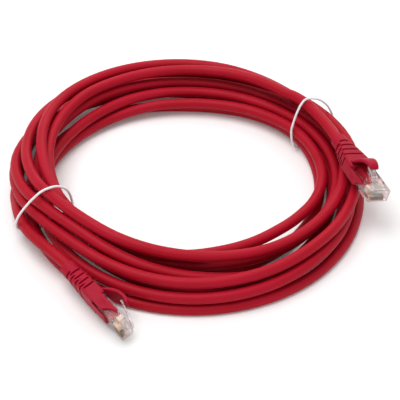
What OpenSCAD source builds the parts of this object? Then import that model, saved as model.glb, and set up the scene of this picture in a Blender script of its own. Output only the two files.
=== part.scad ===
// Ethernet patch cable: a round jacketed cord piled into a ring of loops, held by
// two twisted wire ties, with a booted modular plug at each end.
// Millimetres, +Z up. The pile lies on the plane z = 0.
// A plug is drawn along +X from the tail of its boot, with its latch towards +Z.

/* [Cord] */
// Outer diameter of the jacket
cord_d = 5.6; // [5.2:0.1:5.8]
// Space kept between turns that lie on each other
turn_gap = 0.45; // [0.45:0.05:0.6]
// Thickness of the tie wire
tie_d = 1.3; // [1:0.1:1.5]

/* [Plug] */
// Width of the housing
plug_w = 11.7; // [11.5:0.1:11.8]
// Height of the housing without its latch
plug_h = 6.6; // [6.5:0.1:6.8]
// Width of the latch where it is rooted at the nose
latch_w = 6; // [5:0.1:6.4]
// Width of the latch tongue behind its shoulders
latch_tongue_w = 3.25; // [3:0.05:3.5]
// Angle between the resting latch and the housing, in degrees
latch_slope = 15.5; // [14:0.5:18]

/* [Boot] */
// Diameter of the smooth collar where the cord leaves the boot
collar_d = 8.2; // [8:0.1:8.6]
// Length of that collar
collar_l = 5; // [5:0.5:7]
// Width of the block behind the housing
boot_w = 13.4; // [13:0.1:14]
// Height of that block
boot_h = 8.2; // [7.8:0.1:8.6]
// Width of a flex groove
groove_w = 1.1; // [0.8:0.1:1.2]
// Width of the recess in which the guard over the latch is rooted
recess_w = 11.2; // [11.2:0.1:11.6]

/* [Hidden] */
$fn = 32;

// Puts the middle of the whole outline over the origin
centre_shift = [-4.6, 7.3, 0];

// The pile of loops. One row per turn, clockwise from the left: the cord's distance
// from the middle at eight places, 45 degrees apart.
TURN_RADII = [
    [88, 94, 91.5, 90.2, 89.5, 90, 88, 85],
    [80.7, 75.5, 67.5, 71, 69.5, 66.5, 66.3, 66.5],
    [74, 68.3, 64, 67.5, 70.5, 62, 64, 66],
    [73.5, 84, 86.3, 81, 81.5, 75, 68.5, 70.3],
    [81.5, 87.5, 86.8, 86, 87.5, 85, 82, 79],
    [88.5, 88, 83.5, 83.7, 82, 82.5, 75.3, 73.8],
    [87.5, 81.5, 77, 77.5, 75.8, 76, 78, 74.4],
    [76.5, 76.5, 79, 81, 84.5, 88, 86.5, 80.5],
    [73.5, 70, 71.3, 74, 77.8, 71, 64.5, 64.5],
    [70.5, 77, 79, 76.5]
];
// The layer that the cord lies in at the same places: of two turns that meet, the one
// with the higher number lies on the other.
TURN_LAYERS = [
    [0, 0, 0, 0, 0, 0, 0, 0],
    [0, 0, 0, 0, 0, 0, 0, 0],
    [0, 0.05, 1, 1, 1, 1.3, 1.2, 1],
    [2.6, 2.6, 2.6, 2.6, 2.6, 2.2, 2, 2],
    [2.2, 1.4, 1.4, 1.4, 2, 2, 1, 1],
    [1.2, 0, 0, 0, 0, 0.1, 1, 1.1],
    [2, 0.1, 0, 0, 0, 0.05, 0, 0.2],
    [1, 1, 1, 1, 1, 1, 0.3, 0],
    [0, 0.9, 0.9, 0.9, 1, 1, 0.05, 0.05],
    [1, 2, 2.7, 3]
];
rings_per_turn = 24;
rings_per_place = 3;
coil_sides = 6;
// Small bias that puts a later turn on an earlier one of the same layer
later_turn_bias = 0.001 / rings_per_turn;
// Depth of the flat that the pile stands on
flat_cut = cord_d / 10;
// How much the cord droops between two rings that are held higher
droop = 0.15;
settle_steps = 12;
// The lowest turns rise over a tie, which passes under them
tie_angles = [203, 31];
tie_rise = 2.2;
tie_rise_reach = 30;

// The free ends of the cord, from the pile to the boots
TAIL_A = [
    [-88, 0, 2.5], [-88, -8, 3], [-86.5, -16.5, 5], [-84.5, -26, 7.6], [-81.5, -35.5, 9.6],
    [-77, -44.5, 11.2], [-71, -52.5, 12.2], [-64.5, -59.5, 12.4], [-57.2, -67.1, 11.7], [-56.8, -68.6, 11.5]
];
TAIL_B = [
    [54.1, 54.1, 21.8], [59, 50.2, 22.4], [63.7, 44.5, 22.7], [67.9, 37, 23], [71.9, 29, 23.4],
    [75.2, 20.5, 24.1], [77.7, 12.5, 24.8], [78.4, 10.6, 24.8]
];
tail_sides = 8;

// Closed loops of the ties: angle round the pile, distance from its middle, height
TIE_LEFT = [
    [202, 72, 0.65], [202, 80, 0.75], [202.3, 85, 0.95], [203, 89.4, 4], [204.3, 92.6, 9.6],
    [205.5, 91.6, 16.5], [206, 88, 22], [206, 83.3, 26.2], [206, 78.4, 29.2], [206, 73.8, 29.9],
    [206, 70, 29.2], [206, 66.5, 26.6], [205.5, 64.2, 22.4], [205, 63, 17.5], [204, 62.4, 12],
    [203, 63, 6], [202.5, 65.2, 1.8], [202, 68, 0.65]
];
TIE_RIGHT = [
    [30, 78, 0.7], [31, 85, 0.7], [32, 89.5, 0.75], [32, 93, 1.9], [31.5, 94, 5.6],
    [31, 92.8, 11.5], [30.5, 90.2, 17], [30.5, 87.4, 21.8], [31.5, 84, 25.2], [32.5, 80, 26.9],
    [33.5, 76.4, 26.7], [33, 72.8, 24.8], [32, 69.4, 21.2], [31, 66.8, 17], [30.3, 65.3, 13.5],
    [29.3, 64.8, 9], [28.5, 65.4, 5.4], [28.6, 67.2, 2.1], [29, 71, 0.7]
];
tie_sides = 6;

// Where the tail of each boot is, and its turn about X, then Y, then Z
boot_a_at = [-56.8, -68.6, 11.5];
boot_a_turn = [-75.5, 5.8, -51.6];
boot_b_at = [78.4, 10.6, 24.8];
boot_b_turn = [-15, -1, -70.2];

// Places along a plug
block_x = 20;
block_front_x = 27;
housing_x = 26;
nose_x = 47.5;
jacket_end_x = 39.3;

// Boot
hull_slice = 0.1;
taper_corner_r = 2;
block_corner_r = 0.6;
housing_corner_r = 0.2;
slot_depth = 1;
side_grooves_x = [7.7, 11.5, 15.4, 19.4];
face_grooves_x = [5.8, 9.6, 13.4, 17.4];
groove_share = 0.75;
wing_t = 0.95;
// Outline of a side arm from the side: place along the plug, height
WING_LINE = [[26, -3.3], [26, 2.3], [39.4, 2.3], [40.2, 1.5], [37.4, 0.4], [35.4, -1.2], [33.8, -3.3]];
dimple_at = [31.7, -0.7];
dimple_r = 1.2;
dimple_depth = 0.25;
tongue_w = 7;
tongue_tip_x = 36.5;
fit_gap = 0.05;
recess_floor = 3.2;
hinge_gap = 0.25;
// The guard as round bars across the plug, from its root to its hooked tip: place along
// the plug, height, thickness, width
GUARD_BARS = [
    [24.4, 4, 1.2, 10.6], [25.9, 5.7, 1.8, 10.4], [27.7, 7.5, 2, 9.2], [29.9, 8.9, 2, 7.8],
    [32.4, 9.65, 2, 6.4], [34.7, 9.6, 1.9, 5.4], [36.1, 8.8, 1.6, 5]
];

// Housing
wall = 0.8;
bar_window_x = [28.3, 31.5];
bar_window_w = 8;
wire_room_x = 39.4;
front_wall = 1.2;
wire_room_top = 2.5;
wire_room_floor = -2.4;
contact_count = 8;
contact_pitch = 1.02;
contact_t = 0.35;
contact_x = [42.6, 46.9];
contact_z = [-3.05, -1.46];
contact_slot_w = 0.5;
contact_slot_x = 42.4;
contact_slot_top = -1;
contact_corner_r = 0.8;

// Latch
latch_hinge = [46.6, 0, 4.15];
latch_t = 1;
latch_shoulder_l = 6.2;
latch_l = 13;
pad_l = 1.7;
pad_top = plug_h / 2 + 0.3;
pad_lip = 0.3;

// Wires
wire_d = 0.9;
wire_z = -1;
wire_sides = 8;
wire_start_x = jacket_end_x + 0.15;
wire_stub_l = 0.4;
comb_x = 41.5;
wire_tip_x = 46.2;
bar_l = 2.5;
bar_gap = 0.1;

// ---- routes ----

// A value between those of a list, on a curve through all of them
function along(v, t) =
    let (last = len(v) - 1)
    let (i = min(floor(t), last - 1))
    let (u = t - i)
    let (a = v[max(i - 1, 0)])
    let (b = v[i])
    let (c = v[i + 1])
    let (d = v[min(i + 2, last)])
    b + u * ((c - a) / 2 + u * (a - 2.5 * b + 2 * c - d / 2 + u * ((d - a) / 2 + 1.5 * (b - c))));

// A value between those of a list, on straight lines
function between(v, t) =
    let (i = min(floor(t), len(v) - 2))
    v[i] + (v[i + 1] - v[i]) * (t - i);

function unit(v) = v / norm(v);

// Direction of a route at its point i
function heading(route, i) =
    unit(route[min(i + 1, len(route) - 1)] - route[max(i - 1, 0)]);

// A ring of points square to the route, with a corner on each side
function ring(route, i, r, sides, lowest) =
    let (side = unit(cross(heading(route, i), [0, 0, 1])))
    let (up = cross(side, heading(route, i)))
    [
        for (k = [0 : sides - 1])
            let (p = route[i] + r * (cos(360 * k / sides) * side + sin(360 * k / sides) * up))
            [p[0], p[1], max(p[2], lowest)]
    ];

// A ring of points square to a closed loop, which stands upright through the pile
function tie_ring(loop, i, r, sides) =
    let (n = len(loop))
    let (ahead = unit(loop[(i + 1) % n] - loop[(i + n - 1) % n]))
    let (middle = [loop[i][0], loop[i][1], 0])
    let (side = unit(cross(ahead, cross(middle, ahead))))
    let (flank = cross(ahead, side))
    [for (k = [0 : sides - 1]) loop[i] + r * (cos(360 * k / sides) * side + sin(360 * k / sides) * flank)];

function quad(a, b, c, d) = [[a, b, c], [a, c, d]];

// Faces between neighbouring rings; a closed tube joins its last ring to its first
function tube_faces(rings, sides, closed) =
    [
        for (i = [0 : closed ? rings - 1 : rings - 2])
            for (k = [0 : sides - 1])
                let (j = (i + 1) % rings)
                let (m = (k + 1) % sides)
                each quad(i * sides + k, i * sides + m, j * sides + m, j * sides + k)
    ];

function end_faces(rings, sides) =
    let (last = (rings - 1) * sides)
    [
        for (k = [1 : sides - 2])
            each [[0, k + 1, k], [last, last + k, last + k + 1]]
    ];

// A tube along a route, cut flat where it would go below the given height
module tube(route, d, sides, lowest) {
    polyhedron(
        points = [for (i = [0 : len(route) - 1]) each ring(route, i, d / 2, sides, lowest)],
        faces = concat(tube_faces(len(route), sides, false), end_faces(len(route), sides))
    );
}

// ---- pile of loops ----

function coil_angle(i) = 180 - i * 360 / rings_per_turn;

// How far apart two angles are
function apart(a, b) = abs(((a - b) % 360 + 540) % 360 - 180);

// Lowest height of the cord's middle at an angle
function floor_height(angle) =
    let (near = min([for (a = tie_angles) apart(angle, a)]))
    let (rise = near < tie_rise_reach ? tie_rise * pow(cos(90 * near / tie_rise_reach), 2) : 0)
    cord_d / 2 - flat_cut + rise;

function ordered(rings, layer) =
    len(rings) < 2 ? rings :
    let (first = rings[0])
    let (rest = [for (k = [1 : len(rings) - 1]) rings[k]])
    concat(
        ordered([for (i = rest) if (layer[i] < layer[first]) i], layer),
        [first],
        ordered([for (i = rest) if (layer[i] >= layer[first]) i], layer)
    );

// How far apart two turns pass near rings i and j, seen from above
function passing(radius, i, j) =
    let (here = radius[i] - radius[j])
    min([
        abs(here),
        for (k = [-1, 1])
            if (min(i, j) + k >= 0 && max(i, j) + k < len(radius))
                let (mid = 0.55 * here + 0.45 * (radius[i + k] - radius[j + k]))
                mid * here < 0 ? 0 : abs(mid)
    ]);

// Height at which turn i rests on a turn below it, given as [ring, height]
function rest_height(radius, i, below) =
    let (reach = cord_d + turn_gap)
    let (d = passing(radius, i, below[0]))
    d < reach ? below[1] + sqrt(reach * reach - d * d) : 0;

// Stacks the turns of one angle, lowest layer first, each no lower than it wants to be
function stacked(radius, order, want, done = []) =
    len(done) == len(order) ? done :
    let (i = order[len(done)])
    let (z = max([floor_height(coil_angle(i)), want[i], for (below = done) rest_height(radius, i, below)]))
    stacked(radius, order, want, concat(done, [[i, z]]));

function lifted(radius, orders, want) =
    let (piles = [for (order = orders) stacked(radius, order, want)])
    [
        for (i = [0 : len(radius) - 1])
            each [for (entry = piles[i % rings_per_turn]) if (entry[0] == i) entry[1]]
    ];

// Draws each ring towards the height of its neighbours, as a stiff cord lies
function settled(radius, orders, z, steps) =
    steps == 0 ? z :
    let (last = len(z) - 1)
    let (want = [for (i = [0 : last]) (z[max(i - 1, 0)] + z[min(i + 1, last)]) / 2 - droop])
    settled(radius, orders, lifted(radius, orders, want), steps - 1);

function coil_route() =
    let (places = [for (row = TURN_RADII) each row])
    let (layers = [for (row = TURN_LAYERS) each row])
    let (last = (len(places) - 1) * rings_per_place)
    let (radius = [for (i = [0 : last]) along(places, i / rings_per_place)])
    let (layer = [for (i = [0 : last]) between(layers, i / rings_per_place) + i * later_turn_bias])
    let (orders = [
        for (s = [0 : rings_per_turn - 1]) ordered([for (i = [s : rings_per_turn : last]) i], layer)
    ])
    let (z = settled(radius, orders, [for (i = [0 : last]) 0], settle_steps + 1))
    [
        for (i = [0 : last])
            [radius[i] * cos(coil_angle(i)), radius[i] * sin(coil_angle(i)), z[i]]
    ];

// Least free space between stretches of the cord that are over a third of a turn apart
function least_gap(route) =
    min([
        for (i = [0 : len(route) - 1])
            for (j = [i + rings_per_turn / 3 : 1 : len(route) - 1])
                norm(route[i] - route[j]) - cord_d
    ]);

function route_length(route) =
    let (steps = [for (i = [1 : len(route) - 1]) norm(route[i] - route[i - 1])])
    steps * [for (step = steps) 1];

module in_place() {
    translate(centre_shift) children();
}

module coil() {
    route = coil_route();
    echo(least_gap = least_gap(route), length = route_length(route));
    echo(start = route[0], end = route[len(route) - 1]);
    color("crimson") in_place() tube(route, cord_d, coil_sides, 0);
}

module tail_a() {
    color("crimson") in_place() tube(TAIL_A, cord_d, tail_sides, 0);
}

module tail_b() {
    color("crimson") in_place() tube(TAIL_B, cord_d, tail_sides, 0);
}

// ---- ties ----

function tie_point(p) = [p[1] * cos(p[0]), p[1] * sin(p[0]), p[2]];

// Twice as many points as the list, on a closed curve through all of them
function tie_loop(list) =
    let (n = len(list))
    let (p = [for (i = [-1 : n + 1]) tie_point(list[(i + n) % n])])
    [for (i = [0 : 2 * n - 1]) along(p, 1 + i / 2)];

module tie(list) {
    loop = tie_loop(list);
    color("white") in_place() polyhedron(
        points = [for (i = [0 : len(loop) - 1]) each tie_ring(loop, i, tie_d / 2, tie_sides)],
        faces = tube_faces(len(loop), tie_sides, true)
    );
}

module tie_left() {
    tie(TIE_LEFT);
}

module tie_right() {
    tie(TIE_RIGHT);
}

// ---- plug, along +X from the tail of its boot ----

// A bar along X with rounded long edges
module rounded_bar(x, l, w, h, r) {
    translate([x, 0, 0]) rotate([90, 0, 90]) linear_extrude(l) {
        square([w - 2 * r, h], center = true);
        square([w, h - 2 * r], center = true);
        for (y = [-1, 1], z = [-1, 1])
            translate([y * (w / 2 - r), z * (h / 2 - r)]) circle(r);
    }
}

// A round bar along X
module round_bar(x, l, d) {
    translate([x, 0, 0]) rotate([0, 90, 0]) cylinder(d = d, h = l);
}

// A box between two corners
module box(from, to) {
    translate(from) cube(to - from);
}

function boot_width_at(x) =
    collar_d + (boot_w - collar_d) * max(x - collar_l, 0) / (block_x - collar_l);

module boot_grooves() {
    for (x = side_grooves_x, side = [-1, 1])
        translate([x, side * boot_width_at(x) / 2, 0])
            cube([groove_w, 2 * slot_depth, groove_share * boot_h], center = true);
    for (x = face_grooves_x, side = [-1, 1])
        translate([x, 0, side * boot_h / 2])
            cube([groove_w, groove_share * boot_width_at(x), 2 * slot_depth], center = true);
}

// A round bar across the plug, of the guard's list
module guard_bar(bar, gap = 0) {
    translate([bar[0], 0, bar[1]]) rotate([90, 0, 0])
        cylinder(d = bar[2] + 2 * gap, h = bar[3], center = true);
}

// One of the flat arms that hold the sides of the housing
module wing(side) {
    inner = plug_w / 2 + fit_gap;
    difference() {
        translate([0, side > 0 ? inner + wing_t : -inner, 0]) rotate([90, 0, 0])
            linear_extrude(wing_t) polygon(WING_LINE);
        translate([dimple_at[0], side * (inner + wing_t), dimple_at[1]]) rotate([90, 0, 0])
            cylinder(r = dimple_r, h = 2 * dimple_depth, center = true);
    }
}

module boot() {
    root = GUARD_BARS[0];
    color("firebrick") difference() {
        union() {
            round_bar(0, collar_l, collar_d);
            hull() {
                round_bar(collar_l - hull_slice, hull_slice, collar_d);
                rounded_bar(block_x, hull_slice, boot_w, boot_h, taper_corner_r);
            }
            rounded_bar(block_x, block_front_x - block_x, boot_w, boot_h, block_corner_r);
            wing(1);
            wing(-1);
            box(
                [housing_x, -tongue_w / 2, -boot_h / 2],
                [tongue_tip_x, tongue_w / 2, -plug_h / 2 - fit_gap]
            );
        }
        round_bar(-1, block_front_x + 2, cord_d + 2 * fit_gap);
        rounded_bar(
            housing_x - fit_gap, block_front_x - housing_x + 1,
            plug_w + 2 * fit_gap, plug_h + 2 * fit_gap, housing_corner_r
        );
        boot_grooves();
        guard_bar([root[0], root[1], root[2], recess_w], hinge_gap);
        box([root[0], -recess_w / 2, recess_floor], [block_front_x + 1, recess_w / 2, boot_h]);
    }
}

// The arched guard over the latch, rooted in the boot's block
module guard() {
    color("firebrick")
        for (i = [1 : len(GUARD_BARS) - 1])
            hull() {
                guard_bar(GUARD_BARS[i - 1]);
                guard_bar(GUARD_BARS[i]);
            }
}

module contact_places() {
    for (i = [0 : contact_count - 1])
        translate([0, (i - (contact_count - 1) / 2) * contact_pitch, 0]) children();
}

module housing() {
    half_w = plug_w / 2;
    half_h = plug_h / 2;
    room_w = half_w - wall;
    color("gainsboro") difference() {
        union() {
            rounded_bar(housing_x, nose_x - housing_x, plug_w, plug_h, housing_corner_r);
            box([nose_x - pad_l, -latch_w / 2, 0], [nose_x, latch_w / 2, pad_top]);
            box([nose_x - pad_lip, -latch_w / 2, 0], [nose_x, latch_w / 2, latch_hinge[2]]);
        }
        box([housing_x - 1, -room_w, -cord_d / 2 - fit_gap], [wire_room_x, room_w, cord_d / 2 + fit_gap]);
        box([wire_room_x - 1, -room_w, wire_room_floor], [nose_x - front_wall, room_w, wire_room_top]);
        box([bar_window_x[0], -bar_window_w / 2, -half_h - 1], [bar_window_x[1], bar_window_w / 2, 0]);
        contact_places()
            box(
                [contact_slot_x, -contact_slot_w / 2, -half_h - 1],
                [nose_x + 1, contact_slot_w / 2, contact_slot_top]
            );
    }
}

module latch() {
    color("gainsboro") translate(latch_hinge) rotate([0, latch_slope, 0]) {
        rotate([90, 0, 0]) cylinder(d = latch_t, h = latch_w, center = true);
        box([-latch_shoulder_l, -latch_w / 2, -latch_t / 2], [0, latch_w / 2, latch_t / 2]);
        box([-latch_l, -latch_tongue_w / 2, -latch_t / 2], [0, latch_tongue_w / 2, latch_t / 2]);
        translate([-latch_l, 0, 0]) rotate([90, 0, 0])
            cylinder(d = latch_t, h = latch_tongue_w, center = true);
    }
}

module contacts() {
    r = contact_corner_r;
    l = contact_x[1] - contact_x[0];
    h = contact_z[1] - contact_z[0];
    color("gold") contact_places()
        translate([contact_x[0], contact_t / 2, contact_z[0]]) rotate([90, 0, 0]) linear_extrude(contact_t) {
            square([l - r, h]);
            translate([l - 2 * r, r]) square([2 * r, h - r]);
            translate([l - r, r]) circle(r);
        }
}

// The block that holds the wires down in a row
module load_bar() {
    half_w = plug_w / 2 - wall - bar_gap;
    color("wheat") box(
        [comb_x, -half_w, wire_z + wire_d / 2 + fit_gap],
        [comb_x + bar_l, half_w, wire_room_top - fit_gap]
    );
}

// The bar that is pressed onto the jacket through the belly
module strain_bar() {
    half_w = bar_window_w / 2 - bar_gap;
    color("gainsboro") box(
        [bar_window_x[0] + bar_gap, -half_w, -plug_h / 2 + fit_gap],
        [bar_window_x[1] - bar_gap, half_w, -cord_d / 2 - fit_gap / 2]
    );
}

module jacket_end() {
    color("crimson") round_bar(0, jacket_end_x, cord_d);
}

// Two wires, from their places in the jacket to their pins
module pair(starts, pins) {
    for (k = [0, 1]) {
        y = (pins[k] - (contact_count + 1) / 2) * contact_pitch;
        start = [wire_start_x, starts[k][0], starts[k][1]];
        route = [start, start + [wire_stub_l, 0, 0], [comb_x, y, wire_z], [wire_tip_x, y, wire_z]];
        tube(route, wire_d, wire_sides, -plug_h);
    }
}

module orange_pair() {
    color("darkorange") pair([[-2, 0], [-1.05, 0]], [1, 2]);
}

module green_pair() {
    color("green") pair([[-0.5, -1.35], [0.5, -1.35]], [3, 6]);
}

module blue_pair() {
    color("royalblue") pair([[-0.5, 1.3], [0.5, 1.3]], [4, 5]);
}

module brown_pair() {
    color("saddlebrown") pair([[1.05, 0], [2, 0]], [7, 8]);
}

module at_a() {
    in_place() translate(boot_a_at) rotate(boot_a_turn) children();
}

module at_b() {
    in_place() translate(boot_b_at) rotate(boot_b_turn) children();
}

module boot_a() { at_a() boot(); }
module guard_a() { at_a() guard(); }
module housing_a() { at_a() housing(); }
module latch_a() { at_a() latch(); }
module contacts_a() { at_a() contacts(); }
module load_bar_a() { at_a() load_bar(); }
module strain_bar_a() { at_a() strain_bar(); }
module jacket_end_a() { at_a() jacket_end(); }
module orange_pair_a() { at_a() orange_pair(); }
module green_pair_a() { at_a() green_pair(); }
module blue_pair_a() { at_a() blue_pair(); }
module brown_pair_a() { at_a() brown_pair(); }
module boot_b() { at_b() boot(); }
module guard_b() { at_b() guard(); }
module housing_b() { at_b() housing(); }
module latch_b() { at_b() latch(); }
module contacts_b() { at_b() contacts(); }
module load_bar_b() { at_b() load_bar(); }
module strain_bar_b() { at_b() strain_bar(); }
module jacket_end_b() { at_b() jacket_end(); }
module orange_pair_b() { at_b() orange_pair(); }
module green_pair_b() { at_b() green_pair(); }
module blue_pair_b() { at_b() blue_pair(); }
module brown_pair_b() { at_b() brown_pair(); }

coil();
tail_a();
tail_b();
tie_left();
tie_right();
boot_a();
guard_a();
housing_a();
latch_a();
contacts_a();
load_bar_a();
strain_bar_a();
jacket_end_a();
orange_pair_a();
green_pair_a();
blue_pair_a();
brown_pair_a();
boot_b();
guard_b();
housing_b();
latch_b();
contacts_b();
load_bar_b();
strain_bar_b();
jacket_end_b();
orange_pair_b();
green_pair_b();
blue_pair_b();
brown_pair_b();
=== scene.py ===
"""Patch cable in a coil: one long jacketed cord, two twisted ties and a booted modular
plug at each end. Lengths are in millimetres in the tables and in the plug's own frame,
and in metres once a mesh is made."""

import math

import bmesh
import bpy
from mathutils import Euler, Matrix, Vector


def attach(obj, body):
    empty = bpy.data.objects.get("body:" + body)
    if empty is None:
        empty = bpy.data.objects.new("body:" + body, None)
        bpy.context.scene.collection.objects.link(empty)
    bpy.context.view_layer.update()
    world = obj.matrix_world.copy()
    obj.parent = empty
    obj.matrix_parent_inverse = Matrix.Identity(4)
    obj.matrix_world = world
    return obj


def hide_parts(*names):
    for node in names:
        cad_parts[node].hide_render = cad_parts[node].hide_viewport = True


MM = 0.001

# ---- measures shared with the part's source, in millimetres ----
CENTRE_SHIFT = Vector((-4.6, 7.3, 0))

# cord and ties
CORD_D = 5.6
TURN_GAP = 0.45
FLAT_CUT = CORD_D / 10
DROOP = 0.15
SETTLE_STEPS = 12
RINGS_PER_TURN = 24
RINGS_PER_PLACE = 3
LATER_TURN_BIAS = 0.001 / RINGS_PER_TURN
NEIGHBOUR_SHARE = 0.45
TIE_ANGLES = (203, 31)
TIE_RISE = 2.2
TIE_RISE_REACH = 30
TIE_D = 1.3

# distance of each turn from the middle of the pile, every 45 degrees, clockwise from -X
TURN_RADII = (
    (88, 94, 91.5, 90.2, 89.5, 90, 88, 85),
    (80.7, 75.5, 67.5, 71, 69.5, 66.5, 66.3, 66.5),
    (74, 68.3, 64, 67.5, 70.5, 62, 64, 66),
    (73.5, 84, 86.3, 81, 81.5, 75, 68.5, 70.3),
    (81.5, 87.5, 86.8, 86, 87.5, 85, 82, 79),
    (88.5, 88, 83.5, 83.7, 82, 82.5, 75.3, 73.8),
    (87.5, 81.5, 77, 77.5, 75.8, 76, 78, 74.4),
    (76.5, 76.5, 79, 81, 84.5, 88, 86.5, 80.5),
    (73.5, 70, 71.3, 74, 77.8, 71, 64.5, 64.5),
    (70.5, 77, 79, 76.5),
)
# the layer of each turn at the same places: of two that meet, the higher lies on top
TURN_LAYERS = (
    (0, 0, 0, 0, 0, 0, 0, 0),
    (0, 0, 0, 0, 0, 0, 0, 0),
    (0, 0.05, 1, 1, 1, 1.3, 1.2, 1),
    (2.6, 2.6, 2.6, 2.6, 2.6, 2.2, 2, 2),
    (2.2, 1.4, 1.4, 1.4, 2, 2, 1, 1),
    (1.2, 0, 0, 0, 0, 0.1, 1, 1.1),
    (2, 0.1, 0, 0, 0, 0.05, 0, 0.2),
    (1, 1, 1, 1, 1, 1, 0.3, 0),
    (0, 0.9, 0.9, 0.9, 1, 1, 0.05, 0.05),
    (1, 2, 2.7, 3),
)
# the free ends of the cord, from the pile to the boots
TAIL_A = (
    (-88, 0, 2.5), (-88, -8, 3), (-86.5, -16.5, 5), (-84.5, -26, 7.6), (-81.5, -35.5, 9.6),
    (-77, -44.5, 11.2), (-71, -52.5, 12.2), (-64.5, -59.5, 12.4), (-57.2, -67.1, 11.7),
    (-56.8, -68.6, 11.5),
)
TAIL_B = (
    (54.1, 54.1, 21.8), (59, 50.2, 22.4), (63.7, 44.5, 22.7), (67.9, 37, 23), (71.9, 29, 23.4),
    (75.2, 20.5, 24.1), (77.7, 12.5, 24.8), (78.4, 10.6, 24.8),
)
# closed loops: angle round the pile, distance from its middle, height
TIE_LEFT = (
    (202, 72, 0.65), (202, 80, 0.75), (202.3, 85, 0.95), (203, 89.4, 4), (204.3, 92.6, 9.6),
    (205.5, 91.6, 16.5), (206, 88, 22), (206, 83.3, 26.2), (206, 78.4, 29.2), (206, 73.8, 29.9),
    (206, 70, 29.2), (206, 66.5, 26.6), (205.5, 64.2, 22.4), (205, 63, 17.5), (204, 62.4, 12),
    (203, 63, 6), (202.5, 65.2, 1.8), (202, 68, 0.65),
)
TIE_RIGHT = (
    (30, 78, 0.7), (31, 85, 0.7), (32, 89.5, 0.75), (32, 93, 1.9), (31.5, 94, 5.6),
    (31, 92.8, 11.5), (30.5, 90.2, 17), (30.5, 87.4, 21.8), (31.5, 84, 25.2), (32.5, 80, 26.9),
    (33.5, 76.4, 26.7), (33, 72.8, 24.8), (32, 69.4, 21.2), (31, 66.8, 17), (30.3, 65.3, 13.5),
    (29.3, 64.8, 9), (28.5, 65.4, 5.4), (28.6, 67.2, 2.1), (29, 71, 0.7),
)
# tail of each boot, and its turn in degrees about X, then Y, then Z
PLUG_PLACES = {
    "a": ((-56.8, -68.6, 11.5), (-75.5, 5.8, -51.6)),
    "b": ((78.4, 10.6, 24.8), (-15, -1, -70.2)),
}

# places along a plug, which is drawn along +X with its latch towards +Z
BLOCK_X = 20
HOUSING_X = 26
BLOCK_FRONT_X = 27
NOSE_X = 47.5
PLUG_W = 11.7
PLUG_H = 6.6
FIT_GAP = 0.05

# boot
COLLAR_D = 8.2
COLLAR_L = 5
BOOT_W = 13.4
BOOT_H = 8.2
GROOVE_W = 1.1
GROOVE_DEPTH = 1
SIDE_GROOVES_X = (7.7, 11.5, 15.4, 19.4)
FACE_GROOVES_X = (5.8, 9.6, 13.4, 17.4)
WING_T = 0.95
WING_LINE = (
    (26, -3.3), (26, 2.3), (39.4, 2.3), (40.2, 1.5), (37.4, 0.4), (35.4, -1.2), (33.8, -3.3),
)
DIMPLE_AT = (31.7, -0.7)
TONGUE_W = 7
TONGUE_TIP_X = 36.5
RECESS_W = 11.2
RECESS_FLOOR = 3.2
HINGE_GAP = 0.25
# the guard as bars across the plug: place along it, height, thickness, width
GUARD_BARS = (
    (24.4, 4, 1.2, 10.6), (25.9, 5.7, 1.8, 10.4), (27.7, 7.5, 2, 9.2), (29.9, 8.9, 2, 7.8),
    (32.4, 9.65, 2, 6.4), (34.7, 9.6, 1.9, 5.4), (36.1, 8.8, 1.6, 5),
)

# housing and latch
WALL = 0.8
BAR_WINDOW_X = (28.3, 31.5)
BAR_WINDOW_W = 8
WIRE_ROOM_X = 39.4
WIRE_ROOM_TOP = 2.5
WIRE_ROOM_FLOOR = -2.4
FRONT_WALL = 1.2
CONTACT_COUNT = 8
CONTACT_PITCH = 1.02
CONTACT_SLOT_W = 0.5
CONTACT_SLOT_X = 42.4
CONTACT_SLOT_TOP = -1
PAD_L = 1.7
PAD_H = 0.3
LATCH_HINGE = Vector((46.6, 0, 4.15))
LATCH_SLOPE = 15.5
LATCH_T = 1
LATCH_L = 13
LATCH_SHOULDER_L = 6.2
LATCH_W = 6
LATCH_TONGUE_W = 3.25

# ---- measures of the finer meshes only, in millimetres ----
# how far the ends of the cord's mesh reach into the boots
CORD_END_X = 4
CORD_SIDES = 20
CORD_STEPS = 4
TIE_SIDES = 10
TIE_STEPS = 40
TIE_RINGS_PER_TWIST = 7
# how much thinner the two twisted strands are across than along their line
TIE_WAIST = 0.14
# exponent of a boot's section: a circle at its collar, nearly a rectangle at its block
COLLAR_SQUARENESS = 2
BLOCK_SQUARENESS = 8
BOOT_SIDES = 96
BOOT_BORE_L = 3
BOOT_STEP = 0.75
BOOT_LIP_L = 0.4
BOOT_LIP_RING_X = 0.15
TAIL_LIP = 0.35
FRONT_LIP = 0.3
# rings at each edge of a groove, as shares of its half width
GROOVE_EDGE_RINGS = (1.3, 1, 0.85)
# shares of the half height between which the grooves of the sides run, and beyond which
# those of the top and the bottom do
SIDE_GROOVE_RISE = (-0.6, 0.78)
FACE_GROOVE_RISE = (-0.35, 0.8)
DIMPLE_BALL_R = 3.2
DIMPLE_SINK = 0.3
GUARD_SIDES = 32
GUARD_STEPS = 6
GUARD_END_STEPS = 4
# the guard's round ends close to this share of its thickness
GUARD_END_SHARE = 0.02
# exponents of the guard's section, across and up
GUARD_SQUARENESS_W = 7
GUARD_SQUARENESS_T = 3
BEVEL_STEPS = 2
WING_BEVEL_STEPS = 3
SHELL_BEVEL = 0.25
EDGE_BEVEL = 0.2
ROOM_BEVEL = 0.15
PAD_BEVEL = 0.08
PAD_SINK = 0.1
# how far a cutter reaches past the face that it opens
OVERCUT = 1
# edges that turn by more degrees than this stay sharp
TUBE_SMOOTH = 60
BOOT_SMOOTH = 35
GUARD_SMOOTH = 50
CLEAR_SMOOTH = 30

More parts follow.
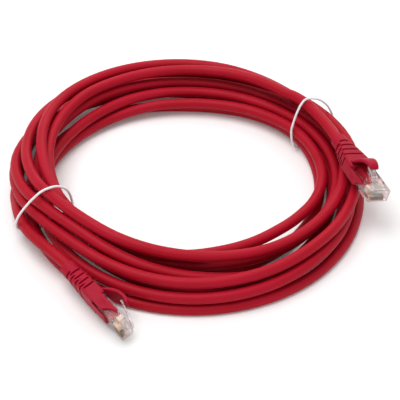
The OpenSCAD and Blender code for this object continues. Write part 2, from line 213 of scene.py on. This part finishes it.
# ---- camera: the photograph's frame is 400 by 400 ----
IMAGE_SIDE = 400
CAMERA_ELEVATION = 41
CAMERA_DISTANCE = 700
CAMERA_TARGET = Vector((0, 0, 8))
FOCAL_PIXELS = 1351
TARGET_PIXEL = (186, 178)
SENSOR_WIDTH = 36
CLIP_START = 0.01

# ---- stage, in metres and watts ----
FLOOR_HALF_SIDE = 0.7
FLOOR_DROP = 0.0002
FLOOR_LIFT = 0.06
WORLD_LIGHT = 0.55
# name, place, side and power of each lamp
LAMPS = (
    ("key", (-0.35, 0, 1.4), 1, 14),
    ("back", (0.3, 1.1, 0.9), 0.8, 4),
)

# ---- materials ----
NOISE_DETAIL = 3
# the stretch of a noise over which a colour changes
NOISE_SPAN = (0.35, 0.65)
PLASTIC_ROUGHNESS = 0.45
PLASTIC_SHADE = 0.85
WIRE_COLOURS = {
    "orange": (0.50, 0.22, 0.10),
    "green": (0.12, 0.26, 0.13),
    "blue": (0.12, 0.16, 0.34),
    "brown": (0.20, 0.10, 0.06),
}

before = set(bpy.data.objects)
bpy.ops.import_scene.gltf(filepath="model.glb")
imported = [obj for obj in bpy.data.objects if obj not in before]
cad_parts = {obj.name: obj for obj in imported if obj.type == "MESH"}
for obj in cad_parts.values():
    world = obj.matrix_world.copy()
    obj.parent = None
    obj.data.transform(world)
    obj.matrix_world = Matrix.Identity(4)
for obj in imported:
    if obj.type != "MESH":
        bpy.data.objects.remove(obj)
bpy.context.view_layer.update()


def to_metres(point):
    """A point of the tables, moved as the part's source moves it."""
    return (Vector(point) + CENTRE_SHIFT) * MM


def make_camera():
    camera = bpy.data.objects.new("camera", bpy.data.cameras.new("camera"))
    bpy.context.scene.collection.objects.link(camera)
    slope = math.radians(CAMERA_ELEVATION)
    away = Vector((0, -math.cos(slope), math.sin(slope)))
    camera.location = to_metres(CAMERA_TARGET + away * CAMERA_DISTANCE)
    camera.rotation_euler = away.to_track_quat("Z", "Y").to_euler()
    camera.data.sensor_width = SENSOR_WIDTH
    camera.data.lens = SENSOR_WIDTH * FOCAL_PIXELS / IMAGE_SIDE
    camera.data.shift_x = (IMAGE_SIDE / 2 - TARGET_PIXEL[0]) / IMAGE_SIDE
    camera.data.shift_y = (TARGET_PIXEL[1] - IMAGE_SIDE / 2) / IMAGE_SIDE
    camera.data.clip_start = CLIP_START
    bpy.context.scene.camera = camera


# ---- routes ----


def along(values, t):
    """A value between those of a list, on a curve through all of them."""
    last = len(values) - 1
    i = min(int(t), last - 1)
    u = t - i
    a = values[max(i - 1, 0)]
    b = values[i]
    c = values[i + 1]
    d = values[min(i + 2, last)]
    bend = a - b * 2.5 + c * 2 - d / 2
    turn = (d - a) / 2 + (b - c) * 1.5
    return b + ((c - a) / 2 + (bend + turn * u) * u) * u


def between(values, t):
    """A value between those of a list, on straight lines."""
    i = min(int(t), len(values) - 2)
    return values[i] + (values[i + 1] - values[i]) * (t - i)


def smooth(points, steps):
    """More points on a curve through all of the given ones."""
    vectors = [Vector(p) for p in points]
    return [along(vectors, i / steps) for i in range((len(vectors) - 1) * steps + 1)]


def coil_angle(i):
    return 180 - i * 360 / RINGS_PER_TURN


def angle_between(a, b):
    return abs((a - b + 180) % 360 - 180)


def floor_height(angle):
    """Lowest height of the cord's middle: it rises over the ties that pass under it."""
    near = min(angle_between(angle, tie) for tie in TIE_ANGLES)
    rise = 0
    if near < TIE_RISE_REACH:
        rise = TIE_RISE * math.cos(math.radians(90 * near / TIE_RISE_REACH)) ** 2
    return CORD_D / 2 - FLAT_CUT + rise


def passing(radius, i, j):
    """How far apart two turns pass near rings i and j, seen from above."""
    here = radius[i] - radius[j]
    apart = [abs(here)]
    for k in (-1, 1):
        if min(i, j) + k >= 0 and max(i, j) + k < len(radius):
            beside = radius[i + k] - radius[j + k]
            middle = (1 - NEIGHBOUR_SHARE) * here + NEIGHBOUR_SHARE * beside
            apart.append(0 if middle * here < 0 else abs(middle))
    return min(apart)


def lifted(radius, orders, want):
    """Heights of all rings, each resting on the turns of the layers below it."""
    reach = CORD_D + TURN_GAP
    heights = [0] * len(radius)
    for order in orders:
        for rank, i in enumerate(order):
            height = max(floor_height(coil_angle(i)), want[i])
            for below in order[:rank]:
                apart = passing(radius, i, below)
                if apart < reach:
                    height = max(height, heights[below] + math.sqrt(reach * reach - apart * apart))
            heights[i] = height
    return heights


def coil_route():
    places = [value for row in TURN_RADII for value in row]
    layers = [value for row in TURN_LAYERS for value in row]
    count = (len(places) - 1) * RINGS_PER_PLACE + 1
    radius = [along(places, i / RINGS_PER_PLACE) for i in range(count)]
    layer = [between(layers, i / RINGS_PER_PLACE) + i * LATER_TURN_BIAS for i in range(count)]
    orders = []
    for start in range(RINGS_PER_TURN):
        orders.append(sorted(range(start, count, RINGS_PER_TURN), key=lambda i: layer[i]))
    heights = lifted(radius, orders, [0] * count)
    for _ in range(SETTLE_STEPS):
        ahead = heights[1:] + heights[-1:]
        behind = heights[:1] + heights[:-1]
        want = [(a + b) / 2 - DROOP for a, b in zip(ahead, behind)]
        heights = lifted(radius, orders, want)
    turns = [math.radians(coil_angle(i)) for i in range(count)]
    return [(r * math.cos(a), r * math.sin(a), z) for r, a, z in zip(radius, turns, heights)]


def plug_matrix(end):
    """From a plug's own frame in millimetres to the row frame in metres."""
    place, turn = PLUG_PLACES[end]
    spin = Euler([math.radians(v) for v in turn], "XYZ").to_matrix().to_4x4()
    return Matrix.Translation(to_metres(place)) @ spin @ Matrix.Scale(MM, 4)


# ---- meshes ----


def add_piece(name, mesh, matrix, body, material, smooth_angle):
    mesh.transform(matrix)
    mesh.shade_smooth()
    mesh.set_sharp_from_angle(angle=math.radians(smooth_angle))
    mesh.materials.append(material)
    piece = bpy.data.objects.new(name, mesh)
    bpy.context.scene.collection.objects.link(piece)
    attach(piece, body)
    return piece


def ring_angles(sides):
    return [2 * math.pi * k / sides for k in range(sides)]


def power(value, exponent):
    """A power that keeps the sign."""
    return math.copysign(abs(value) ** exponent, value)


def grid_mesh(name, rings, closed=False):
    """A mesh from rings of equally many points, with its ends filled unless it is closed."""
    sides = len(rings[0])
    points = [p for ring in rings for p in ring]
    faces = []
    for i in range(len(rings) if closed else len(rings) - 1):
        j = (i + 1) % len(rings)
        for k in range(sides):
            m = (k + 1) % sides
            faces.append((i * sides + k, i * sides + m, j * sides + m, j * sides + k))
    if not closed:
        faces.append(tuple(reversed(range(sides))))
        faces.append(tuple(range(len(points) - sides, len(points))))
    mesh = bpy.data.meshes.new(name)
    mesh.from_pydata([tuple(p) for p in points], [], faces)
    mesh.validate()
    return mesh


def route_frames(route, closed=False):
    """Point, side and up of each place on a route; side stays level."""
    count = len(route)
    frames = []
    for i, point in enumerate(route):
        ahead = route[(i + 1) % count] if closed else route[min(i + 1, count - 1)]
        behind = route[i - 1] if closed or i else route[0]
        heading = (ahead - behind).normalized()
        side = heading.cross(Vector((0, 0, 1))).normalized()
        frames.append((point, side, side.cross(heading)))
    return frames


def mesh_of(bm, name):
    mesh = bpy.data.meshes.new(name)
    bm.to_mesh(mesh)
    bm.free()
    return mesh


def bevel_edges(bm, edges, width, steps):
    bmesh.ops.bevel(bm, geom=edges, offset=width, segments=steps, profile=0.5, affect="EDGES")


def box_mesh(low, high, bevel=0):
    bm = bmesh.new()
    bmesh.ops.create_cube(bm, size=1)
    for vertex in bm.verts:
        vertex.co = [low[k] if vertex.co[k] < 0 else high[k] for k in range(3)]
    if bevel:
        bevel_edges(bm, bm.edges[:], bevel, BEVEL_STEPS)
    return mesh_of(bm, "box")


def ball_mesh(centre, radius):
    bm = bmesh.new()
    bmesh.ops.create_uvsphere(bm, u_segments=24, v_segments=16, radius=radius)
    bmesh.ops.translate(bm, verts=bm.verts, vec=centre)
    return mesh_of(bm, "ball")


def joined(meshes):
    bm = bmesh.new()
    for mesh in meshes:
        bm.from_mesh(mesh)
    return mesh_of(bm, "joined")


def carved(mesh, cutters):
    """A mesh with the cutters taken out of it."""
    body = bpy.data.objects.new("body", mesh)
    bpy.context.scene.collection.objects.link(body)
    helpers = [body]
    for cutter in cutters:
        helper = bpy.data.objects.new("cutter", cutter)
        bpy.context.scene.collection.objects.link(helper)
        step = body.modifiers.new("cut", "BOOLEAN")
        step.object = helper
        step.solver = "EXACT"
        helpers.append(helper)
    graph = bpy.context.evaluated_depsgraph_get()
    result = bpy.data.meshes.new_from_object(body.evaluated_get(graph))
    for helper in helpers:
        bpy.data.objects.remove(helper)
    return result


# ---- materials ----


def new_material(name, colour, roughness, **sockets):
    """A plain material. Further sockets are given by name, with _ for a space."""
    material = bpy.data.materials.new(name)
    material.use_nodes = True
    shader = material.node_tree.nodes["Principled BSDF"]
    shader.inputs["Base Color"].default_value = (*colour, 1)
    shader.inputs["Roughness"].default_value = roughness
    for socket, value in sockets.items():
        shader.inputs[socket.replace("_", " ")].default_value = value
    return material


def add_noise(material, scale):
    nodes = material.node_tree.nodes
    coordinates = nodes.new("ShaderNodeTexCoord")
    noise = nodes.new("ShaderNodeTexNoise")
    noise.inputs["Scale"].default_value = scale
    noise.inputs["Detail"].default_value = NOISE_DETAIL
    material.node_tree.links.new(coordinates.outputs["Object"], noise.inputs["Vector"])
    return noise.outputs["Fac"]


def vary_colour(material, scale, low, high):
    """Runs the base colour between two colours with a noise."""
    tree = material.node_tree
    ramp = tree.nodes.new("ShaderNodeValToRGB")
    for element, position, colour in zip(ramp.color_ramp.elements, NOISE_SPAN, (low, high)):
        element.position = position
        element.color = (*colour, 1)
    tree.links.new(add_noise(material, scale), ramp.inputs["Fac"])
    tree.links.new(ramp.outputs["Color"], tree.nodes["Principled BSDF"].inputs["Base Color"])


def vary_roughness(material, scale, low, high):
    tree = material.node_tree
    span = tree.nodes.new("ShaderNodeMapRange")
    span.inputs["To Min"].default_value = low
    span.inputs["To Max"].default_value = high
    tree.links.new(add_noise(material, scale), span.inputs["Value"])
    tree.links.new(span.outputs["Result"], tree.nodes["Principled BSDF"].inputs["Roughness"])


def add_bump(material, scale, distance, strength):
    tree = material.node_tree
    bump = tree.nodes.new("ShaderNodeBump")
    bump.inputs["Strength"].default_value = strength
    bump.inputs["Distance"].default_value = distance
    tree.links.new(add_noise(material, scale), bump.inputs["Height"])
    tree.links.new(bump.outputs["Normal"], tree.nodes["Principled BSDF"].inputs["Normal"])


def jacket_material():
    material = new_material("jacket_red", (0.40, 0.003, 0.016), roughness=0.5, Specular_IOR_Level=0.14)
    vary_colour(material, scale=35, low=(0.375, 0.002, 0.013), high=(0.425, 0.004, 0.020))
    vary_roughness(material, scale=220, low=0.42, high=0.55)
    add_bump(material, scale=900, distance=0.0001, strength=0.25)
    return material


def boot_material():
    material = new_material("boot_red", (0.37, 0.003, 0.024), roughness=0.55, Specular_IOR_Level=0.15)
    vary_colour(material, scale=120, low=(0.345, 0.002, 0.020), high=(0.395, 0.005, 0.028))
    add_bump(material, scale=2500, distance=0.00006, strength=0.35)
    return material


def clear_material():
    material = new_material(
        "clear_polycarbonate_painted_red_reflection",
        # the pinkish tint of this base colour is a painted reflection of the red boot and jacket inside
        # the plug
        (0.97, 0.86, 0.86),
        roughness=0.06,
        Transmission_Weight=1,
        IOR=1.45,
        Alpha=0.5,
    )
    vary_roughness(material, scale=300, low=0.04, high=0.1)
    return material


def tie_material():
    material = new_material("tie_white", (0.86, 0.86, 0.87), roughness=0.4)
    vary_colour(material, scale=400, low=(0.82, 0.82, 0.83), high=(0.9, 0.9, 0.91))
    return material


def gold_material():
    material = new_material("contact_gold", (0.42, 0.31, 0.2), roughness=0.55, Metallic=0.9)
    vary_roughness(material, scale=1500, low=0.5, high=0.65)
    return material


def plastic_material(name, colour):
    material = new_material(name, colour, PLASTIC_ROUGHNESS)
    vary_colour(material, scale=700, low=[c * PLASTIC_SHADE for c in colour], high=colour)
    return material


# ---- cord and ties ----


def make_cord(material):
    inside_a, inside_b = [plug_matrix(end) @ Vector((CORD_END_X, 0, 0)) for end in "ab"]
    tail_a = [to_metres(p) for p in reversed(smooth(TAIL_A, CORD_STEPS))]
    coil = [to_metres(p) for p in smooth(coil_route(), CORD_STEPS)]
    tail_b = [to_metres(p) for p in smooth(TAIL_B, CORD_STEPS)]
    route = [inside_a] + tail_a[:-1] + coil + tail_b[1:] + [inside_b]
    radius = CORD_D / 2 * MM
    rings = []
    for point, side, up in route_frames(route):
        ring = []
        for angle in ring_angles(CORD_SIDES):
            corner = point + (side * math.cos(angle) + up * math.sin(angle)) * radius
            corner.z = max(corner.z, 0)
            ring.append(corner)
        rings.append(ring)
    mesh = grid_mesh("cord", rings)
    cord = add_piece("cord", mesh, Matrix(), "cable", material, TUBE_SMOOTH)
    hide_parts("coil", "tail_a", "tail_b")
    return cord, route


def make_tie(node, loop, material):
    """A closed loop of two strands twisted together."""
    name = f"{node}_twist"
    count = len(loop)
    spots = []
    for angle, radius, height in loop:
        turn = math.radians(angle)
        spots.append(Vector((radius * math.cos(turn), radius * math.sin(turn), height)))
    padded = [spots[-1]] + spots + spots[:2]
    route = [to_metres(along(padded, 1 + i / TIE_STEPS)) for i in range(count * TIE_STEPS)]
    half_twists = round(len(route) / TIE_RINGS_PER_TWIST)
    rings = []
    for i, (point, side, up) in enumerate(route_frames(route, closed=True)):
        lobe = math.pi * half_twists * i / len(route)
        ring = []
        for angle in ring_angles(TIE_SIDES):
            share = 1 - TIE_WAIST + TIE_WAIST * abs(math.cos(angle - lobe))
            radius = TIE_D / 2 * MM * share
            ring.append(point + (side * math.cos(angle) + up * math.sin(angle)) * radius)
        rings.append(ring)
    mesh = grid_mesh(name, rings, closed=True)
    tie = add_piece(name, mesh, Matrix(), "cable", material, TUBE_SMOOTH)
    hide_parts(node)


# ---- plugs, in their own frame ----


def boot_section(x):
    """Half width, half height and squareness of the boot at x."""
    t = min(max((x - COLLAR_L) / (BLOCK_X - COLLAR_L), 0), 1)
    half_w = (COLLAR_D + (BOOT_W - COLLAR_D) * t) / 2
    half_h = (COLLAR_D + (BOOT_H - COLLAR_D) * t) / 2
    return half_w, half_h, COLLAR_SQUARENESS + (BLOCK_SQUARENESS - COLLAR_SQUARENESS) * t


def groove_depth(x, rise):
    """Depth of the flex grooves at x, at a height given as a share of the half height."""
    grooves = ()
    if SIDE_GROOVE_RISE[0] < rise < SIDE_GROOVE_RISE[1]:
        grooves += SIDE_GROOVES_X
    if rise < FACE_GROOVE_RISE[0] or rise > FACE_GROOVE_RISE[1]:
        grooves += FACE_GROOVES_X
    return GROOVE_DEPTH if any(abs(x - g) <= GROOVE_W / 2 for g in grooves) else 0


def lip_depth(x):
    """How far the edges at the boot's tail and front are taken in at x."""
    tail = 1 - min(x, BOOT_LIP_L) / BOOT_LIP_L
    front = max(0, x - (BLOCK_FRONT_X - BOOT_LIP_L)) / BOOT_LIP_L
    return TAIL_LIP * (1 - math.sqrt(1 - tail * tail)) + FRONT_LIP * front


def boot_stations():
    """Where the boot has its rings: close together at its ends and at each groove."""
    stations = {0, BOOT_LIP_RING_X, BOOT_LIP_L, BLOCK_FRONT_X - BOOT_LIP_L, BLOCK_FRONT_X}
    stations.update(1 + BOOT_STEP * i for i in range(int((BLOCK_FRONT_X - 1) / BOOT_STEP)))
    for g in SIDE_GROOVES_X + FACE_GROOVES_X:
        stations -= {x for x in stations if abs(x - g) < GROOVE_W}
        for edge in (-GROOVE_W / 2, GROOVE_W / 2):
            stations.update(g + edge * share for share in GROOVE_EDGE_RINGS)
    return sorted(stations)


def boot_shell_mesh():
    rings = []
    for x in (BOOT_BORE_L, 0):
        bore_r = CORD_D / 2 + FIT_GAP
        angles = ring_angles(BOOT_SIDES)
        rings.append([Vector((x, bore_r * math.cos(a), bore_r * math.sin(a))) for a in angles])
    for x in boot_stations():
        half_w, half_h, squareness = boot_section(x)
        ring = []
        for angle in ring_angles(BOOT_SIDES):
            y = half_w * power(math.cos(angle), 2 / squareness)
            z = half_h * power(math.sin(angle), 2 / squareness)
            inward = 1 - (groove_depth(x, z / half_h) + lip_depth(x)) / math.hypot(y, z)
            ring.append(Vector((x, y * inward, z * inward)))
        rings.append(ring)
    return grid_mesh("boot_shell", rings)


def wing_mesh(side):
    """A flat arm with a slanted end and a shallow dimple, on one side of the housing."""
    inner = side * (PLUG_W / 2 + FIT_GAP)
    bm = bmesh.new()
    face = bm.faces.new([bm.verts.new((x, inner, z)) for x, z in WING_LINE])
    moved = bmesh.ops.extrude_face_region(bm, geom=[face])
    for vertex in [v for v in moved["geom"] if isinstance(v, bmesh.types.BMVert)]:
        vertex.co.y += side * WING_T
    bmesh.ops.recalc_face_normals(bm, faces=bm.faces[:])
    rim = [e for e in bm.edges if all(abs(v.co.y) > PLUG_W / 2 + WING_T / 2 for v in e.verts)]
    bevel_edges(bm, rim, SHELL_BEVEL, WING_BEVEL_STEPS)
    x, z = DIMPLE_AT
    y = side * (PLUG_W / 2 + WING_T + DIMPLE_BALL_R - DIMPLE_SINK)
    return carved(mesh_of(bm, "wing"), [ball_mesh((x, y, z), DIMPLE_BALL_R)])


def tongue_mesh():
    """The flat tongue of the boot under the housing."""
    half = TONGUE_W / 2
    top = -PLUG_H / 2 - FIT_GAP
    return box_mesh((HOUSING_X, -half, -BOOT_H / 2), (TONGUE_TIP_X, half, top), EDGE_BEVEL)


def recess_cutters():
    """The recess in which the guard is rooted, and the notch in which its root turns."""
    root_x, root_z, root_t, _ = GUARD_BARS[0]
    half = RECESS_W / 2
    reach = root_t / 2 + HINGE_GAP
    notch_low = (root_x - reach, -half, root_z - reach)
    return [
        box_mesh((root_x, -half, RECESS_FLOOR), (BLOCK_FRONT_X + OVERCUT, half, BOOT_H)),
        box_mesh(notch_low, (root_x + reach, half, BOOT_H), EDGE_BEVEL),
    ]


def make_boot(end, material):
    shell = carved(boot_shell_mesh(), recess_cutters())
    mesh = joined([shell, wing_mesh(1), wing_mesh(-1), tongue_mesh()])
    boot = add_piece(f"boot_{end}_shell", mesh, plug_matrix(end), "cable", material, BOOT_SMOOTH)
    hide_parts(f"boot_{end}")
    return boot


def guard_mesh():
    """A loft through the guard's bars, each a vector of its place, height, thickness and
    width. At both ends the section turns through a right angle, which rounds them."""
    bars = smooth(GUARD_BARS, GUARD_STEPS)
    last = len(bars) - 1
    quarter = [90 * k / GUARD_END_STEPS for k in range(1, GUARD_END_STEPS + 1)]
    stations = [(0, roll) for roll in reversed(quarter)]
    stations += [(i, 0) for i in range(last + 1)]
    stations += [(last, -roll) for roll in quarter]
    rings = []
    for i, roll in stations:
        bar = bars[i]
        ahead = (bars[min(i + 1, last)] - bars[max(i - 1, 0)]).xy.normalized()
        aside = Vector((-ahead.y, ahead.x))
        thick = bar.z / 2
        shrink = max(math.cos(math.radians(roll)), GUARD_END_SHARE)
        push = -thick * math.sin(math.radians(roll))
        half_w = bar.w / 2 - thick * (1 - shrink)
        ring = []
        for angle in ring_angles(GUARD_SIDES):
            across = half_w * power(math.cos(angle), 2 / GUARD_SQUARENESS_W)
            lift = thick * shrink * power(math.sin(angle), 2 / GUARD_SQUARENESS_T)
            x, z = bar.xy + ahead * push + aside * lift
            ring.append(Vector((x, across, z)))
        rings.append(ring)
    return grid_mesh("guard", rings)


def make_guard(end, material):
    """The soft arch over the latch."""
    body = f"guard_{end}"
    matrix = plug_matrix(end)
    guard = add_piece(f"guard_{end}_arch", guard_mesh(), matrix, body, material, GUARD_SMOOTH)
    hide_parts(f"guard_{end}")
    return guard


def housing_cutters():
    """The rooms of the jacket and the wires, the strain bar's window and the contact slots."""
    room_w = PLUG_W / 2 - WALL
    jacket_r = CORD_D / 2 + FIT_GAP
    wires_low = (WIRE_ROOM_X - OVERCUT, -room_w, WIRE_ROOM_FLOOR)
    wires_high = (NOSE_X - FRONT_WALL, room_w, WIRE_ROOM_TOP)
    window_w = BAR_WINDOW_W / 2
    slot_w = CONTACT_SLOT_W / 2
    below = -PLUG_H / 2 - OVERCUT
    cutters = [
        box_mesh((HOUSING_X - OVERCUT, -room_w, -jacket_r), (WIRE_ROOM_X, room_w, jacket_r), ROOM_BEVEL),
        box_mesh(wires_low, wires_high, ROOM_BEVEL),
        box_mesh((BAR_WINDOW_X[0], -window_w, below), (BAR_WINDOW_X[1], window_w, 0)),
    ]
    for i in range(CONTACT_COUNT):
        y = (i - (CONTACT_COUNT - 1) / 2) * CONTACT_PITCH
        slot_high = (NOSE_X + OVERCUT, y + slot_w, CONTACT_SLOT_TOP)
        cutters.append(box_mesh((CONTACT_SLOT_X, y - slot_w, below), slot_high))
    return cutters


def housing_mesh():
    half_w = PLUG_W / 2
    half_h = PLUG_H / 2
    pad_w = LATCH_W / 2
    shell = box_mesh((HOUSING_X, -half_w, -half_h), (NOSE_X, half_w, half_h), SHELL_BEVEL)
    pad_low = (NOSE_X - PAD_L, -pad_w, half_h - PAD_SINK)
    pad = box_mesh(pad_low, (NOSE_X, pad_w, half_h + PAD_H), PAD_BEVEL)
    return joined([carved(shell, housing_cutters()), pad])


def make_housing(end, material):
    matrix = plug_matrix(end)
    housing = add_piece(f"housing_{end}_shell", housing_mesh(), matrix, "cable", material, CLEAR_SMOOTH)
    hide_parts(f"housing_{end}")
    return housing


def make_latch(end, material):
    half = LATCH_T / 2
    broad_w = LATCH_W / 2
    tongue_w = LATCH_TONGUE_W / 2
    broad = box_mesh((-LATCH_SHOULDER_L, -broad_w, -half), (half, broad_w, half), EDGE_BEVEL)
    tongue_end = -LATCH_L - half
    tongue = box_mesh((tongue_end, -tongue_w, -half), (-LATCH_SHOULDER_L, tongue_w, half), EDGE_BEVEL)
    slope = Matrix.Rotation(math.radians(LATCH_SLOPE), 4, "Y")
    mesh = joined([broad, tongue])
    mesh.transform(Matrix.Translation(LATCH_HINGE) @ slope)
    body = f"latch_{end}"
    latch = add_piece(f"latch_{end}_tab", mesh, plug_matrix(end), body, material, CLEAR_SMOOTH)
    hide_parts(f"latch_{end}")
    return latch


def dress_node(node, material):
    """Gives a carried-over solid its finish."""
    piece = bpy.data.objects[node]
    piece.data.materials.clear()
    piece.data.materials.append(material)
    return piece


def make_plug(end, soft, clear, finishes):
    """All the pieces of a plug: four are made here and the others are carried over."""
    pieces = [
        make_boot(end, soft),
        make_guard(end, soft),
        make_housing(end, clear),
        make_latch(end, clear),
    ]
    return pieces + [dress_node(f"{node}_{end}", finish) for node, finish in finishes.items()]


# ---- stage ----


def seen_rays(tree):
    """One for what the camera, gloss or clear plastic shows, none for light on the object."""
    rays = tree.nodes.new("ShaderNodeLightPath")
    seen = rays.outputs["Is Camera Ray"]
    for kind in ("Is Glossy Ray", "Is Transmission Ray"):
        either = tree.nodes.new("ShaderNodeMath")
        either.operation = "MAXIMUM"
        tree.links.new(seen, either.inputs[0])
        tree.links.new(rays.outputs[kind], either.inputs[1])
        seen = either.outputs[0]
    return seen


def calculated(tree, operation, value, number):
    """A sum or product of a socket and a number."""
    step = tree.nodes.new("ShaderNodeMath")
    step.operation = operation
    step.inputs[1].default_value = number
    tree.links.new(value, step.inputs[0])
    return step.outputs[0]


def floor_material():
    """Matte white, lifted a little where the camera, gloss or clear plastic shows it."""
    material = new_material("floor_white", (0.92, 0.92, 0.92), roughness=0.9, Specular_IOR_Level=0.1)
    tree = material.node_tree
    shader = tree.nodes["Principled BSDF"]
    shader.inputs["Emission Color"].default_value = (1, 1, 1, 1)
    lift = calculated(tree, "MULTIPLY", seen_rays(tree), FLOOR_LIFT)
    tree.links.new(lift, shader.inputs["Emission Strength"])
    return material


def make_floor():
    bm = bmesh.new()
    bmesh.ops.create_grid(bm, x_segments=1, y_segments=1, size=FLOOR_HALF_SIDE)
    mesh = mesh_of(bm, "floor")
    mesh.materials.append(floor_material())
    floor = bpy.data.objects.new("floor", mesh)
    floor.location.z = -FLOOR_DROP
    bpy.context.scene.collection.objects.link(floor)


def make_world():
    """White where the camera, gloss or clear plastic shows it, and a softer light besides."""
    world = bpy.data.worlds.new("studio")
    bpy.context.scene.world = world
    world.use_nodes = True
    tree = world.node_tree
    background = tree.nodes["Background"]
    background.inputs["Color"].default_value = (1, 1, 1, 1)
    lift = calculated(tree, "MULTIPLY", seen_rays(tree), 1 - WORLD_LIGHT)
    strength = calculated(tree, "ADD", lift, WORLD_LIGHT)
    tree.links.new(strength, background.inputs["Strength"])


def add_lamp(name, place, side, watts):
    """A square lamp that faces the middle of the pile."""
    lamp = bpy.data.lights.new(name, "AREA")
    lamp.shape = "SQUARE"
    lamp.size = side
    lamp.energy = watts
    holder = bpy.data.objects.new(name, lamp)
    holder.location = place
    holder.rotation_euler = Vector(place).to_track_quat("Z", "Y").to_euler()
    bpy.context.scene.collection.objects.link(holder)


bpy.context.scene.view_settings.view_transform = "Standard"
make_camera()
jacket = jacket_material()
cord, cord_route = make_cord(jacket)

tie_white = tie_material()
make_tie("tie_left", TIE_LEFT, tie_white)
make_tie("tie_right", TIE_RIGHT, tie_white)

boot_red = boot_material()
clear_plastic = clear_material()
finishes = {
    "contacts": gold_material(),
    "load_bar": plastic_material("load_bar_cream", (0.62, 0.50, 0.40)),
    "strain_bar": clear_plastic,
    "jacket_end": jacket,
}
for wire, colour in WIRE_COLOURS.items():
    finishes[f"{wire}_pair"] = plastic_material(f"wire_{wire}", colour)
make_plug("a", boot_red, clear_plastic, finishes)
plug_b = make_plug("b", boot_red, clear_plastic, finishes)

make_floor()
make_world()
for lamp in LAMPS:
    add_lamp(*lamp)
